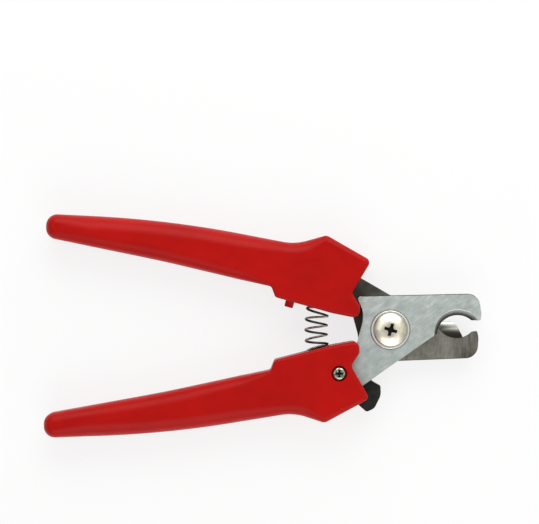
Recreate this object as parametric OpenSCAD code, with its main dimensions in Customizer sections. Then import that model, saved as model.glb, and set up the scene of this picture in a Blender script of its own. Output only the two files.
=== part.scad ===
// Tail docking pliers: two shearing blades with a round recess each, on moulded handles.
// A spring opens them. The tool lies on its back. +X points to the jaws and +Z is the pivot's axis.
// The origin is on that axis, in the plane that the tool lies on.
// Lengths are in millimetres and angles in degrees.

/* [Handles] */
// Distance from the pivot to the end of a handle
handle_len = 131.6; // [120:0.1:145]
// Thickness of a handle
handle_t = 15; // [14:0.1:17]
// Distance from the centre line to the middle of a handle's end
tail_y = 36.6; // [33:0.1:40]
// Width of a handle at its end
tail_w = 8.9; // [8.6:0.1:10]
// Distance from the pivot to the fullest part of the grip
grip_x = 86; // [80:0.1:92]
// Distance from the centre line to the inner edge of the grip there
grip_y = 23.8; // [22:0.1:26]
// Width of the grip there
grip_w = 16.2; // [14:0.1:18]
// Distance from the pivot to where the grip's inner edge is rounded most of the way
round_x = 57; // [54:0.1:66]
// Distance from the pivot to the step behind the head
step_x = 45.6; // [44:0.1:50]
// Distance from the centre line to the grip's inner edge at the step
step_y = 15.4; // [14:0.1:17]
// Height of the step
step_h = 4; // [2:0.1:5]
// How much further the upper handle stands open than the lower one
upper_open = 1.3; // [0:0.1:2]

/* [Stop peg] */
// Distance from the pivot to the middle of the peg
peg_x = 38.3; // [37:0.1:41]
// Width of the peg along the handle
peg_w = 3.3; // [2:0.1:4]
// How far the peg stands out of the handle
peg_h = 2.4; // [1:0.1:2.6]
// Size of the peg through the handle's thickness
peg_t = 6; // [4:0.1:8]

/* [Blades] */
// Thickness of a blade
blade_t = 2.8; // [2:0.1:3.2]
// Running gap between the two blades
blade_gap = 0.1; // [0.06:0.01:0.2]
// Distance from the pivot to the end of the jaws
jaw_len = 34.6; // [32:0.1:37]
// Distance from the pivot to the blade's back edge
back_y = 13.4; // [12:0.1:14]
// Distance from the pivot to the blade's heel
heel_x = 13.1; // [12.6:0.1:13.4]
// How much shorter the rear jaw is than the front one
rear_short = 1.3; // [0:0.1:2]
// Diameter of the round recess
recess_d = 16.1; // [14:0.1:17]
// Distance from the pivot to the middle of the recess, along the blade
recess_x = 25.7; // [25:0.1:27]
// Distance from the pivot to the middle of the recess, across the blade
recess_y = 2.6; // [1.5:0.1:3]
// Width of the ground bevel round the recess, where it is widest
bevel_w = 2.2; // [1:0.1:2.4]
// How far the bevel is ground off the recess's centre, towards the blade's back
bevel_off = 1.3; // [0:0.1:1.5]
// Height of the land that the bevel leaves at the cutting edge
bevel_land = 0.3; // [0.2:0.1:1]
// How far the tip of the jaw stays from the centre line
tip_y = 3.5; // [3:0.05:4.5]
// Distance from the pivot to the end of the tang in the handle
tang_len = 60; // [50:0.1:64]
// How much further closed the rear blade's head is set on its tang
rear_set = 6.3; // [0:0.1:7]

/* [Pivot] */
// Diameter of the pivot screw
pivot_d = 6; // [4:0.1:7]
// Clearance all round between the screw and what turns on it
pivot_clear = 0.05; // [0.02:0.01:0.09]
// Diameter of the screw's domed head
head_d = 12.8; // [10:0.1:14]
// Height of the screw's head
head_h = 2.5; // [1.8:0.1:3.2]
// Height of the straight rim under the dome
head_rim = 0.5; // [0.3:0.1:0.8]
// Diameter of the front washer
front_washer_d = 14.6; // [12:0.1:16]
// Thickness of the front washer
front_washer_t = 0.8; // [0.5:0.1:1.2]
// Diameter of the rear washer
rear_washer_d = 12.4; // [10:0.1:13]
// Thickness of the rear washer
rear_washer_t = 0.6; // [0.4:0.1:1]
// Width across the flats of the nut
nut_af = 10; // [8:0.1:11]
// How far the end of the screw stays inside the nut
screw_short = 0.4; // [0.2:0.1:1]
// Diameter of the hole that is left clear round the thread in washers and fixed parts
washer_clear = 0.15; // [0.1:0.05:0.3]

/* [Cross recesses] */
// Span of the cross in the pivot screw
cross_d = 5.2; // [3:0.1:6]
// Width of an arm of the cross in the pivot screw
cross_w = 1.1; // [0.8:0.1:1.6]
// Depth of the cross in the pivot screw
cross_h = 1.7; // [1:0.1:2]
// Turn of the cross in the pivot screw
cross_turn = -17; // [-45:1:45]
// Span of the cross in the lock screw
lock_cross_d = 3; // [2:0.1:3.6]
// Width of an arm of the cross in the lock screw
lock_cross_w = 0.7; // [0.5:0.1:1]
// Depth of the cross in the lock screw
lock_cross_h = 0.9; // [0.5:0.1:1.2]

/* [Guard plate] */
// Thickness of the guard plate
guard_t = 1.1; // [0.8:0.1:1.3]
// Running gap in front of and behind the guard plate
guard_gap = 0.05; // [0.03:0.01:0.1]
// Diameter of the eye round the pivot
guard_eye_d = 16; // [14:0.1:18]
// Distance from the pivot to the end of the guard plate
guard_len = 28; // [26:0.1:29]
// Radius that the arm of the guard plate is curved to, across its width
guard_curve = 9.5; // [9:0.1:12]
// How far the crown of the arm lies behind the face of the eye
guard_set = 0.3; // [0.2:0.05:0.5]

/* [Return spring] */
// Distance from the pivot to the middle of each seat's mouth, along the tool
spring_x = 28; // [27:0.1:30]
// Outer diameter of the spring
spring_d = 9.1; // [8:0.1:9.4]
// Diameter of the spring wire
wire_d = 0.9; // [0.7:0.1:1.2]
// Number of turns of the spring
spring_turns = 8.3; // [6:0.1:9]
// Diameter of the seat in each handle
seat_d = 10.2; // [10:0.1:10.6]
// Depth of each seat, square to the handle's inner edge
seat_h = 6; // [5:0.1:6.4]
// Gap between the end of the spring and the floor of its seat
seat_gap = 0.05; // [0.02:0.01:0.2]

/* [Lock] */
// Distance from the pivot to the lock screw, along the tool
lock_x = 19.5; // [19:0.1:20]
// Distance from the pivot to the lock screw, across the tool
lock_y = 16.5; // [16:0.1:17]
// Travel of the lock lever
lock_swing = 13.5; // [12:0.1:14]
// Diameter of the lock lever's eye
lever_eye_d = 8.4; // [7:0.1:9]
// Running gap on each face of the lock lever
lever_gap = 0.08; // [0.05:0.01:0.15]
// Clearance round the outline of the lock lever
lever_clear = 0.25; // [0.15:0.05:0.4]
// Diameter of the lock screw
lock_d = 3; // [2.5:0.1:3.4]
// Clearance all round between the lock screw and the lever
lock_clear = 0.05; // [0.02:0.01:0.09]
// Diameter of the lock screw's head
lock_head_d = 4.9; // [4:0.1:5.4]
// Height of the lock screw's head
lock_head_h = 1.5; // [1:0.1:1.8]
// Diameter of the counterbore that the head lies in
counterbore_d = 6; // [5.6:0.1:6.6]
// Depth of the counterbore
counterbore_h = 1.9; // [1.8:0.1:2.2]
// Wall left behind the tip of the lock screw
lock_wall = 1.6; // [1:0.1:2.5]

/* [Hidden] */
$fn = 96;

// Largest distance between a round stretch of an outline and its chords
chord_error = 0.03;
// Number of bands in a rounded edge
edge_steps = 5;
// Height that is left straight in the middle of a fully rounded side
side_flat = 0.8;
// How far a rounded edge reaches down the side, as a share of how far it reaches in over the face
edge_fall = 1.15;
// Width of the cone in the middle of a cross recess, as a share of the width of its arms
cross_cone = 2.6;
// Overlap of a cutting shape past the face that it cuts
over = 1;
// Rise of the spring's closed end turns, as a share of the wire's diameter
closed_rise = 1.12;
// Direction of the wire's lower end, round the spring from its side towards the pivot
wire_start = 172;

// Layers, from the back of the tool to its front
mid_z = handle_t / 2;
front_z = mid_z + blade_gap / 2;
front_top = front_z + blade_t;
rear_top = mid_z - blade_gap / 2;
rear_z = rear_top - blade_t;
guard_top = rear_z - guard_gap;
guard_z = guard_top - guard_t;
washer_z = guard_z - guard_gap - rear_washer_t;
head_z = front_top + front_washer_t;
lever_z = rear_z + lever_gap;
lever_t = front_z - lever_gap - lever_z;
lever_floor = rear_z;
lock_head_z = handle_t - counterbore_h;

// Ends of the straight inner edge of a handle's head, and how far that edge leans
head_front = [-22.3, -5.8];
head_back = [-step_x + 1.6, -step_y + step_h];
head_slope = atan((head_front[1] - head_back[1]) / (head_front[0] - head_back[0]));
// Middle of the floor of the spring's seat in the lower handle
seat_floor = [-spring_x, head_edge(-spring_x)] + seat_h * [sin(head_slope), -cos(head_slope)];
// Distance across the tool to the grip's inner edge at round_x, a little proud of a straight line
round_y = step_y + (grip_y - step_y) * (round_x - step_x) / (grip_x - step_x) - 0.17;
// Corner radius and edge rounding of a handle's end, just short of half its width
tail_r = tail_w * 0.48;
tail_edge = tail_w * 0.44;
// Corners of a handle's outline, each with its corner radius and its edge rounding
handle_corners = [
    [-step_x, -step_y, 1.5, 1.3],
    [-round_x, -round_y, 60, 4.2],
    [-grip_x, -grip_y, 500, 5.4],
    [-handle_len, -tail_y + tail_w / 2, tail_r, tail_edge],
    [-handle_len, -tail_y - tail_w / 2, tail_r, tail_edge],
    [-grip_x, -grip_y - grip_w, 400, 6],
    [-37, -31.7, 20, 4.6],
    [-25, -35.3, 2.4, 2.3],
    [-7.9, -26, 2, 1.9],
    [-15, -13.6, 2, 1.5],
    [-11.85, -8.8, 2.2, 1.5],
    [-12, -4, 2.4, 1.3],
    [head_front[0], head_front[1], 40, 1.2],
    [head_back[0], head_back[1], 1.3, 1.1]
];

// How deep the root of the peg lies in the handle
peg_root = 1.2;

// Corners of a blade's head, from its heel round its neck and its jaw, each with its corner radius
// heel_drop: how much closer to the pivot the heel lies than the back edge at the jaw
// end: distance from the pivot to the end of the jaw
function head_corners(heel_drop, neck, end) = concat(
    [[-heel_x, back_y - heel_drop, 1.2]],
    neck,
    [
        [-15.5, -24.84, 0],
        [17.7, -1.5, 0],
        [recess_x, -recess_y, 0],
        [recess_x + 4, tip_y, 0],
        [end - 0.3, tip_y, 0.5],
        [end + 0.15, 5.6, 8],
        [end - 1.1, back_y + 0.3, 4.8]
    ]
);

front_neck = [[-10.2, 7, 9], [-10.6, 2.6, 12], [-12.6, -5.2, 3]];
rear_neck = [[-10.8, 8, 3], [-12.1, 4.5, 5], [-12.4, 0.3, 6], [-13.4, -5.2, 3]];
front_head = head_corners(0.7, front_neck, jaw_len);
rear_head = head_corners(1.9, rear_neck, jaw_len - rear_short);

// Corners of the tang inside a handle
tang_corners = [
    [-12.5, -5, 0],
    [-22.4, -14.2, 6],
    [-tang_len, -22.6, 2.5],
    [-tang_len, -29.2, 2.5],
    [-30, -26.4, 20],
    [-15, -23, 0],
    [-6, -12, 0]
];

// Corners of the guard plate's arm
guard_corners = [
    [0, 3.3, 0],
    [0, -6, 0],
    [guard_len + 0.4, -8.2, 3],
    [guard_len + 0.2, -3.2, 6],
    [guard_len - 3, 2.8, 3]
];
// Distance across the tool to the crown of the guard plate's curved arm
guard_crown = -3.2;
// Distance from the pivot at which the arm's curve starts
guard_bend_x = 7;

// Point of the lock lever's hook and foot of its thumb pad, measured from the lock screw
lever_hook = [12.84, -0.45];
lever_foot = [10.6, -15];
// Directions of the lever's two straight edges, which touch its eye
hook_edge = edge_turn(lever_hook, -1);
foot_edge = edge_turn(lever_foot, 1);
edges_apart = (hook_edge - foot_edge) / 2;
edges_meet = lever_eye_d / 2 / sin(edges_apart) * turned((hook_edge + foot_edge) / 2);
// Corners of the lock lever, measured from the lock screw
lever_corners = [
    [edges_meet[0], edges_meet[1], lever_eye_d / 2],
    [lever_foot[0], lever_foot[1], 1.2],
    [13.6, -13.6, 3],
    [16.1, -8.6, 6],
    [15.9, -4.95, 0.7],
    [12.5, -3, 0.5],
    [lever_hook[0], lever_hook[1], 0.4]
];

function unit(v) = v / norm(v);
function plane(p) = [p[0], p[1]];
function wrapped(turn) = (turn + 540) % 360 - 180;
function turned(angle) = [cos(angle), sin(angle)];

// Direction of the line from point p that touches the lever's eye on the given side
function edge_turn(p, side) = atan2(-p[1], -p[0]) % 360 + side * asin(lever_eye_d / 2 / norm(p));

// Corners moved out of the outline by the given clearance, for an outline that turns left
function grown(corners, clear) =
    let (n = len(corners))
    [
        for (i = [0 : n - 1])
            let (
                p = corners[i],
                u = unit(plane(corners[(i + n - 1) % n]) - plane(p)),
                v = unit(plane(corners[(i + 1) % n]) - plane(p)),
                side = sign(v[0] * u[1] - v[1] * u[0]),
                place = plane(p) - side * clear / sin(acos(u * v) / 2) * unit(u + v)
            )
            [place[0], place[1], p[2] == 0 ? 0 : p[2] + side * clear]
    ];

// Points of the arc that rounds corner p between its neighbours a and b, each with the corner's last value
function corner_arc(a, p, b) =
    let (
        u = unit(plane(a) - plane(p)),
        v = unit(plane(b) - plane(p)),
        half = acos(u * v) / 2,
        centre = plane(p) + unit(u + v) * p[2] / sin(half),
        first = plane(p) + u * p[2] / tan(half) - centre,
        last = plane(p) + v * p[2] / tan(half) - centre,
        start = atan2(first[1], first[0]),
        turn = wrapped(atan2(last[1], last[0]) - start),
        steps = ceil(abs(turn) / (2 * acos(1 - chord_error / p[2])))
    )
    [
        for (i = [0 : steps])
            [
                centre[0] + p[2] * cos(start + turn * i / steps),
                centre[1] + p[2] * sin(start + turn * i / steps),
                p[len(p) - 1]
            ]
    ];

// Distance across the tool to the inner edge of a handle's head
function head_edge(x) = head_front[1] + (x - head_front[0]) * tan(head_slope);

// Outline through a list of corners, with each corner rounded to its own radius
function outline(corners) =
    let (n = len(corners))
    [
        for (i = [0 : n - 1])
            each (
                corners[i][2] == 0
                    ? [[corners[i][0], corners[i][1], 0]]
                    : corner_arc(corners[(i + n - 1) % n], corners[i], corners[(i + 1) % n])
            )
    ];

module outline_2d(corners) polygon([for (p = outline(corners)) plane(p)]);

// Flat body with the given outline, whose edges are rounded in by each point's own amount
module rounded_body(corners, height) {
    points = outline(corners);
    n = len(points);
    inward = [
        for (i = [0 : n - 1])
            let (d = unit(plane(points[(i + 1) % n]) - plane(points[(i + n - 1) % n])))
            [-d[1], d[0]]
    ];
    levels = concat(
        [for (k = [edge_steps : -1 : 0]) [k, -1]],
        [for (k = [0 : edge_steps]) [k, 1]]
    );
    vertices = [
        for (level = levels)
            for (i = [0 : n - 1])
                let (
                    turn = 90 * level[0] / edge_steps,
                    reach = points[i][2],
                    rise = min(reach * edge_fall, height / 2 - side_flat / 2),
                    place = plane(points[i]) + inward[i] * reach * (1 - cos(turn))
                )
                [place[0], place[1], height / 2 + level[1] * (height / 2 - rise * (1 - sin(turn)))]
    ];
    rings = len(levels);
    faces = concat(
        [for (r = [0 : rings - 2]) for (i = [0 : n - 1]) [r * n + i, (r + 1) * n + i, r * n + (i + 1) % n]],
        [
            for (r = [0 : rings - 2])
                for (i = [0 : n - 1])
                    [r * n + (i + 1) % n, (r + 1) * n + i, (r + 1) * n + (i + 1) % n]
        ],
        [[for (i = [0 : n - 1]) i]],
        [[for (i = [n - 1 : -1 : 0]) (rings - 1) * n + i]]
    );
    polyhedron(points = vertices, faces = faces, convexity = 6);
}

// Turns the lower half of the tool into the upper half
module upper_half() {
    rotate([0, 0, -upper_open]) translate([0, 0, handle_t]) rotate([180, 0, 0]) children();
}

// Blade before it is bored and ground, in the lower half's place, with its head turned on its tang
module blade_blank(head, head_turn) {
    translate([0, 0, front_z]) linear_extrude(blade_t) {
        rotate(head_turn) outline_2d(head);
        outline_2d(tang_corners);
    }
}

module spring_seat() {
    translate([seat_floor[0], seat_floor[1], mid_z]) rotate([0, 0, head_slope]) rotate([-90, 0, 0])
        cylinder(h = 2 * seat_h, d = seat_d);
}

// Round recess of a blade, with a bevel that is ground as a cone
module recess_cut() {
    flare = bevel_w / (blade_t - bevel_land);
    low_r = recess_d / 2 - bevel_off - bevel_land * flare;
    translate([recess_x, -recess_y, front_z - over]) cylinder(h = blade_t + 2 * over, d = recess_d);
    translate([recess_x, bevel_off - recess_y, front_z])
        cylinder(h = blade_t + over, r1 = low_r, r2 = low_r + (blade_t + over) * flare);
}

module blade(head, head_turn) {
    difference() {
        blade_blank(head, head_turn);
        rotate(head_turn) recess_cut();
        translate([0, 0, front_z - over]) cylinder(h = blade_t + 2 * over, d = pivot_d + 2 * pivot_clear);
        spring_seat();
    }
}

module handle_blank(head, head_turn) {
    difference() {
        rounded_body(handle_corners, handle_t);
        blade_blank(head, head_turn);
        spring_seat();
    }
}

module at_lock() {
    translate([-lock_x, -lock_y, 0]) children();
}

module cross_cut(span, width, depth) {
    for (turn = [0, 90]) rotate(turn)
        translate([-span / 2, -width / 2, -depth]) cube([span, width, depth + over]);
    translate([0, 0, -depth - over / 2]) cylinder(h = depth + over, d1 = width, d2 = width * cross_cone);
}

module washer(z, thickness, diameter) {
    translate([0, 0, z]) difference() {
        cylinder(h = thickness, d = diameter);
        translate([0, 0, -over]) cylinder(h = thickness + 2 * over, d = pivot_d + 2 * washer_clear);
    }
}

module lower_handle() {
    color("#c21a18") difference() {
        handle_blank(front_head, 0);
        at_lock() {
            translate([0, 0, lever_floor]) linear_extrude(front_z - lever_floor) {
                for (turn = [0, lock_swing]) rotate(turn) outline_2d(grown(lever_corners, lever_clear));
            }
            translate([0, 0, lock_wall]) cylinder(h = handle_t, d = lock_d);
            translate([0, 0, lock_head_z]) cylinder(h = handle_t, d = counterbore_d);
        }
    }
}

module upper_handle() {
    color("#c21a18") upper_half() {
        handle_blank(rear_head, -rear_set);
        translate([-peg_x, head_edge(-peg_x), mid_z]) rotate(head_slope)
            translate([-peg_w / 2, -peg_root, -peg_t / 2]) cube([peg_w, peg_root + peg_h, peg_t]);
    }
}

module front_blade() {
    color("#a9afab") difference() {
        blade(front_head, 0);
        at_lock() translate([0, 0, front_z - over])
            cylinder(h = blade_t + 2 * over, d = lock_d + 2 * washer_clear);
    }
}

module rear_blade() {
    color("#6c6b63") upper_half() blade(rear_head, -rear_set);
}

module pivot_screw() {
    dome_h = head_h - head_rim;
    dome_r = (head_d * head_d / 4 + dome_h * dome_h) / (2 * dome_h);
    color("#cfccb4") difference() {
        union() {
            translate([0, 0, screw_short]) cylinder(h = head_z - screw_short, d = pivot_d);
            translate([0, 0, head_z]) intersection() {
                cylinder(h = head_h, d = head_d);
                translate([0, 0, head_h - dome_r]) sphere(r = dome_r);
            }
        }
        translate([0, 0, head_z + head_h]) rotate(cross_turn) cross_cut(cross_d, cross_w, cross_h);
    }
}

module front_washer() {
    color("#c9c9c4") washer(front_top, front_washer_t, front_washer_d);
}

module rear_washer() {
    color("#b9b9b4") washer(washer_z, rear_washer_t, rear_washer_d);
}

module pivot_nut() {
    color("#b9b9b4") difference() {
        cylinder(h = washer_z, d = nut_af / cos(30), $fn = 6);
        translate([0, 0, -over]) cylinder(h = washer_z + 2 * over, d = pivot_d);
    }
}

// Tube that the arm of the guard plate is a strip of
module guard_shell() {
    difference() {
        cylinder(h = guard_len, r = guard_curve);
        translate([0, 0, -over]) cylinder(h = guard_len + 2 * over, r = guard_curve - guard_t);
    }
}

module guard_plate() {
    color("#9a9892") difference() {
        union() {
            translate([0, 0, guard_z]) cylinder(h = guard_t, d = guard_eye_d);
            intersection() {
                linear_extrude(guard_top) outline_2d(guard_corners);
                translate([guard_bend_x, guard_crown, guard_top - guard_set - guard_curve])
                    rotate([0, 90, 0]) guard_shell();
            }
        }
        translate([0, 0, -over]) cylinder(h = guard_top + 2 * over, d = pivot_d + 2 * pivot_clear);
    }
}

// Wire of the spring: closed end turns, and an even pitch between them. Its centre line is bent to an arc,
// because it starts and ends square to the floors of the two seats.
module return_spring() {
    wire_sides = 8;
    turn_steps = 18;
    radius = (spring_d - wire_d) / 2;
    half_open = upper_open / 2;
    lean = head_slope + half_open;
    bend_r = -(seat_floor[0] * sin(half_open) + seat_floor[1] * cos(half_open)) / sin(lean);
    bend_x = seat_floor[0] * cos(half_open) - seat_floor[1] * sin(half_open) + bend_r * cos(lean);
    high = bend_r * lean * PI / 180 - seat_gap - wire_d / 2;
    low = -high;
    end_rise = wire_d * closed_rise;
    pitch = (high - low - 2 * end_rise) / (spring_turns - 2);
    tilt = atan(pitch / (2 * PI * radius));
    steps = round(spring_turns * turn_steps);
    rise = function (turns)
        low + end_rise * min(turns, 1) + pitch * max(0, min(turns, spring_turns - 1) - 1)
        + end_rise * max(0, turns - spring_turns + 1);
    vertices = [
        for (i = [0 : steps])
            for (k = [0 : wire_sides - 1])
                let (
                    turns = spring_turns * i / steps,
                    at = wire_start + 360 * turns,
                    round_wire = 360 * k / wire_sides,
                    out = wire_d / 2 * cos(round_wire),
                    side = wire_d / 2 * sin(round_wire),
                    bent = bend_r - (radius + out) * cos(at) - side * sin(tilt) * sin(at),
                    along = (rise(turns) + side * cos(tilt)) / bend_r * 180 / PI
                )
                [
                    bend_x - bent * cos(along),
                    bent * sin(along),
                    mid_z + (radius + out) * sin(at) - side * sin(tilt) * cos(at)
                ]
    ];
    faces = concat(
        [[for (k = [0 : wire_sides - 1]) k]],
        [[for (k = [wire_sides - 1 : -1 : 0]) steps * wire_sides + k]],
        [
            for (i = [0 : steps - 1])
                for (k = [0 : wire_sides - 1])
                    let (a = i * wire_sides, b = a + wire_sides, next = (k + 1) % wire_sides)
                    each [[a + k, b + k, a + next], [a + next, b + k, b + next]]
        ]
    );
    color("#8f8a86") rotate([0, 0, -half_open])
        polyhedron(points = vertices, faces = faces, convexity = 10);
}

module lock_lever() {
    color("#242720") at_lock() translate([0, 0, lever_z]) difference() {
        linear_extrude(lever_t) outline_2d(lever_corners);
        translate([0, 0, -over]) cylinder(h = lever_t + 2 * over, d = lock_d + 2 * lock_clear);
    }
}

module lock_screw() {
    color("#bdbdae") at_lock() difference() {
        union() {
            translate([0, 0, lock_wall]) cylinder(h = lock_head_z - lock_wall, d = lock_d);
            translate([0, 0, lock_head_z]) cylinder(h = lock_head_h, d = lock_head_d);
        }
        translate([0, 0, lock_head_z + lock_head_h]) cross_cut(lock_cross_d, lock_cross_w, lock_cross_h);
    }
}

lower_handle();
upper_handle();
front_blade();
rear_blade();
pivot_screw();
front_washer();
rear_washer();
pivot_nut();
guard_plate();
return_spring();
lock_lever();
lock_screw();
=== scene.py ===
"""Looks of the tail docking pliers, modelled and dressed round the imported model.

Sizes are in millimetres and angles in degrees. MM turns a length into Blender's metres.
"""

from __future__ import annotations

import logging
import math
from dataclasses import dataclass
from enum import Enum
from typing import Any, Mapping, Sequence

import bpy
from mathutils import Matrix, Vector
from mathutils.kdtree import KDTree

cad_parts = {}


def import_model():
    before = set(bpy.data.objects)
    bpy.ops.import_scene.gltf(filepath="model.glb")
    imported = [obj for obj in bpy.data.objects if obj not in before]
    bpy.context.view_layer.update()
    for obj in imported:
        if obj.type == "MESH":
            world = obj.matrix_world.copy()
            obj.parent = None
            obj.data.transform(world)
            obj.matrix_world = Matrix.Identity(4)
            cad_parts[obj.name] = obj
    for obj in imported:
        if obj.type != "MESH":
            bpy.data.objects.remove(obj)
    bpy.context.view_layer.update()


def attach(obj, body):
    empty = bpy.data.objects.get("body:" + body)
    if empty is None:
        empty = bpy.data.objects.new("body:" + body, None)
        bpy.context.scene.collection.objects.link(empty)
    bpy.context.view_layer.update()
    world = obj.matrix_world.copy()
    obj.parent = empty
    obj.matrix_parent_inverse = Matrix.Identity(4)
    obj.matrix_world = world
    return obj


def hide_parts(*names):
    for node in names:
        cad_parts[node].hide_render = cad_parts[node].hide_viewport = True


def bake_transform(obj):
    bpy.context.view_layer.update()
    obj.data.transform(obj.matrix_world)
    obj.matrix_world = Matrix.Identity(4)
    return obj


LOG = logging.getLogger("tail_docking_pliers")
MM = 0.001
# Distance at which two points of a mesh are one
WELD = 0.002


def linear(colour: str, alpha: float = 1.0) -> tuple[float, float, float, float]:
    """Turns an sRGB hex colour into the linear values that Blender's sockets take.

    Args:
        colour: Colour as #rrggbb.
        alpha: Opacity.

    Returns:
        Linear red, green and blue, and the opacity.
    """
    parts = [int(colour[i : i + 2], 16) / 255 for i in (1, 3, 5)]
    red, green, blue = (p / 12.92 if p <= 0.04045 else ((p + 0.055) / 1.055) ** 2.4 for p in parts)
    return red, green, blue, alpha


def add_node(
    tree: bpy.types.NodeTree,
    kind: str,
    settings: Mapping[str | int, Any] | None = None,
    links: Mapping[str | int, bpy.types.NodeSocket] | None = None,
) -> bpy.types.Node:
    """Adds a node with its settings and links.

    Args:
        tree: Tree that gets the node.
        kind: Blender's type of the node.
        settings: Values by the name of a property, or else by the name or number of an input.
        links: Outputs by the name or number of the input that they feed.

    Returns:
        The new node.
    """
    node = tree.nodes.new(kind)
    for name, value in (settings or {}).items():
        if isinstance(name, str) and hasattr(node, name):
            setattr(node, name, value)
        else:
            node.inputs[name].default_value = value
    for name, source in (links or {}).items():
        tree.links.new(source, node.inputs[name])
    return node


# Modelling


@dataclass(frozen=True)
class Corner:
    """Corner of an outline: its place, the radius that rounds it, and the rounding of the edge above it."""

    x: float
    y: float
    radius: float = 0.0
    rounding: float = 0.0

    @property
    def place(self) -> Vector:
        """Place of the corner in the plane of the outline."""
        return Vector((self.x, self.y))


@dataclass(frozen=True)
class OutlinePoint:
    """Point of a finished outline, with the edge rounding that holds there."""

    place: Vector
    rounding: float


def rounded_outline(corners: Sequence[Corner], step: float, error: float = 0.008) -> list[OutlinePoint]:
    """Rounds each corner of an outline and divides the straights between them.

    Args:
        corners: Corners in order.
        step: Longest piece of a straight along which the edge rounding changes.
        error: Largest distance between an arc and its chords.

    Returns:
        Points of the outline in order.
    """
    arcs: list[list[OutlinePoint]] = []
    for i, corner in enumerate(corners):
        if corner.radius == 0:
            arcs.append([OutlinePoint(corner.place, corner.rounding)])
            continue
        before = (corners[i - 1].place - corner.place).normalized()
        after = (corners[(i + 1) % len(corners)].place - corner.place).normalized()
        half = before.angle(after) / 2
        centre = corner.place + (before + after).normalized() * corner.radius / math.sin(half)
        setback = corner.radius / math.tan(half)
        first = corner.place + before * setback - centre
        last = corner.place + after * setback - centre
        start = math.atan2(first.y, first.x)
        turn = (math.atan2(last.y, last.x) - start + math.pi) % math.tau - math.pi
        chords = max(2, math.ceil(abs(turn) / (2 * math.acos(1 - error / corner.radius))))
        arcs.append(
            [
                OutlinePoint(
                    centre + corner.radius * Vector((math.cos(at), math.sin(at))), corner.rounding
                )
                for at in (start + turn * k / chords for k in range(chords + 1))
            ]
        )
    points: list[OutlinePoint] = []
    for arc, following in zip(arcs, arcs[1:] + arcs[:1]):
        points.extend(arc)
        here, there = arc[-1], following[0]
        change = abs(there.rounding - here.rounding)
        pieces = max(1, math.ceil((there.place - here.place).length / step)) if change > 0.01 else 1
        points.extend(
            OutlinePoint(
                here.place.lerp(there.place, k / pieces),
                here.rounding + (there.rounding - here.rounding) * k / pieces,
            )
            for k in range(1, pieces)
        )
    return points


def deselect() -> None:
    """Leaves nothing selected, so that an operator acts only on what is added next."""
    bpy.ops.object.select_all(action="DESELECT")


def edit(piece: bpy.types.Object) -> None:
    """Opens one piece in edit mode with all of its mesh selected."""
    deselect()
    piece.select_set(True)
    bpy.context.view_layer.objects.active = piece
    bpy.ops.object.mode_set(mode="EDIT")
    bpy.ops.mesh.select_all(action="SELECT")


def close_edit() -> None:
    """Goes back to object mode."""
    bpy.ops.object.mode_set(mode="OBJECT")


def at_origin(piece: bpy.types.Object) -> bpy.types.Object:
    """Moves a piece's place, turn and scale into its mesh, and returns the piece."""
    deselect()
    piece.select_set(True)
    bpy.context.view_layer.objects.active = piece
    bpy.ops.object.transform_apply(location=True, rotation=True, scale=True)
    return piece


def trace(name: str, points: Sequence[Vector], closed: bool) -> bpy.types.Object:
    """Draws a line of edges by extruding one point from place to place.

    Args:
        name: Name of the piece.
        points: Places in millimetres, in order.
        closed: Whether the line ends where it starts and holds a face.

    Returns:
        The piece, with nothing but the line or its face.
    """
    deselect()
    bpy.ops.mesh.primitive_plane_add(size=MM, location=points[0] * MM)
    piece = bpy.context.object
    piece.name = piece.data.name = name
    edit(piece)
    bpy.ops.mesh.merge(type="CENTER")
    route = list(points) + ([points[0]] if closed else [])
    for here, there in zip(route, route[1:]):
        bpy.ops.mesh.extrude_region_move(TRANSFORM_OT_translate={"value": (there - here) * MM})
    bpy.ops.mesh.select_all(action="SELECT")
    bpy.ops.mesh.remove_doubles(threshold=WELD * MM)
    if closed:
        bpy.ops.mesh.edge_face_add()
    close_edit()
    return at_origin(piece)


def plate(name: str, places: Sequence[Vector], levels: Sequence[float]) -> bpy.types.Object:
    """Makes a flat solid by extruding an outline from level to level.

    Args:
        name: Name of the piece.
        places: Points of the outline.
        levels: Heights of the lower face, of each ring of edges between, and of the upper face.

    Returns:
        The solid.
    """
    piece = trace(name, [p.to_3d() + Vector((0, 0, levels[0])) for p in places], closed=True)
    edit(piece)
    for low, high in zip(levels, levels[1:]):
        bpy.ops.mesh.extrude_region_move(TRANSFORM_OT_translate={"value": (0, 0, (high - low) * MM)})
    bpy.ops.mesh.select_all(action="SELECT")
    bpy.ops.mesh.normals_make_consistent(inside=False)
    close_edit()
    return piece


def turned(
    name: str,
    profile: Sequence[tuple[float, float]],
    centre: Vector,
    steps: int = 72,
    axis: Vector = Vector((0, 0, 1)),
) -> bpy.types.Object:
    """Makes a turned solid by spinning its profile.

    Args:
        name: Name of the piece.
        profile: Radius and height of each point, closed on itself or from the axis to the axis.
        centre: Point of the axis that heights start from.
        steps: Number of steps in a full turn.
        axis: Direction of the axis.

    Returns:
        The solid.
    """
    arm = Vector((1, 0, 0)) if abs(axis.z) > 0.5 else Vector((0, 0, 1))
    piece = trace(name, [centre + arm * r + axis * h for r, h in profile], closed=False)
    edit(piece)
    bpy.ops.mesh.spin(steps=steps, angle=math.tau, center=centre * MM, axis=axis)
    bpy.ops.mesh.select_all(action="SELECT")
    bpy.ops.mesh.remove_doubles(threshold=WELD * MM)
    bpy.ops.mesh.normals_make_consistent(inside=False)
    close_edit()
    return piece


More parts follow.
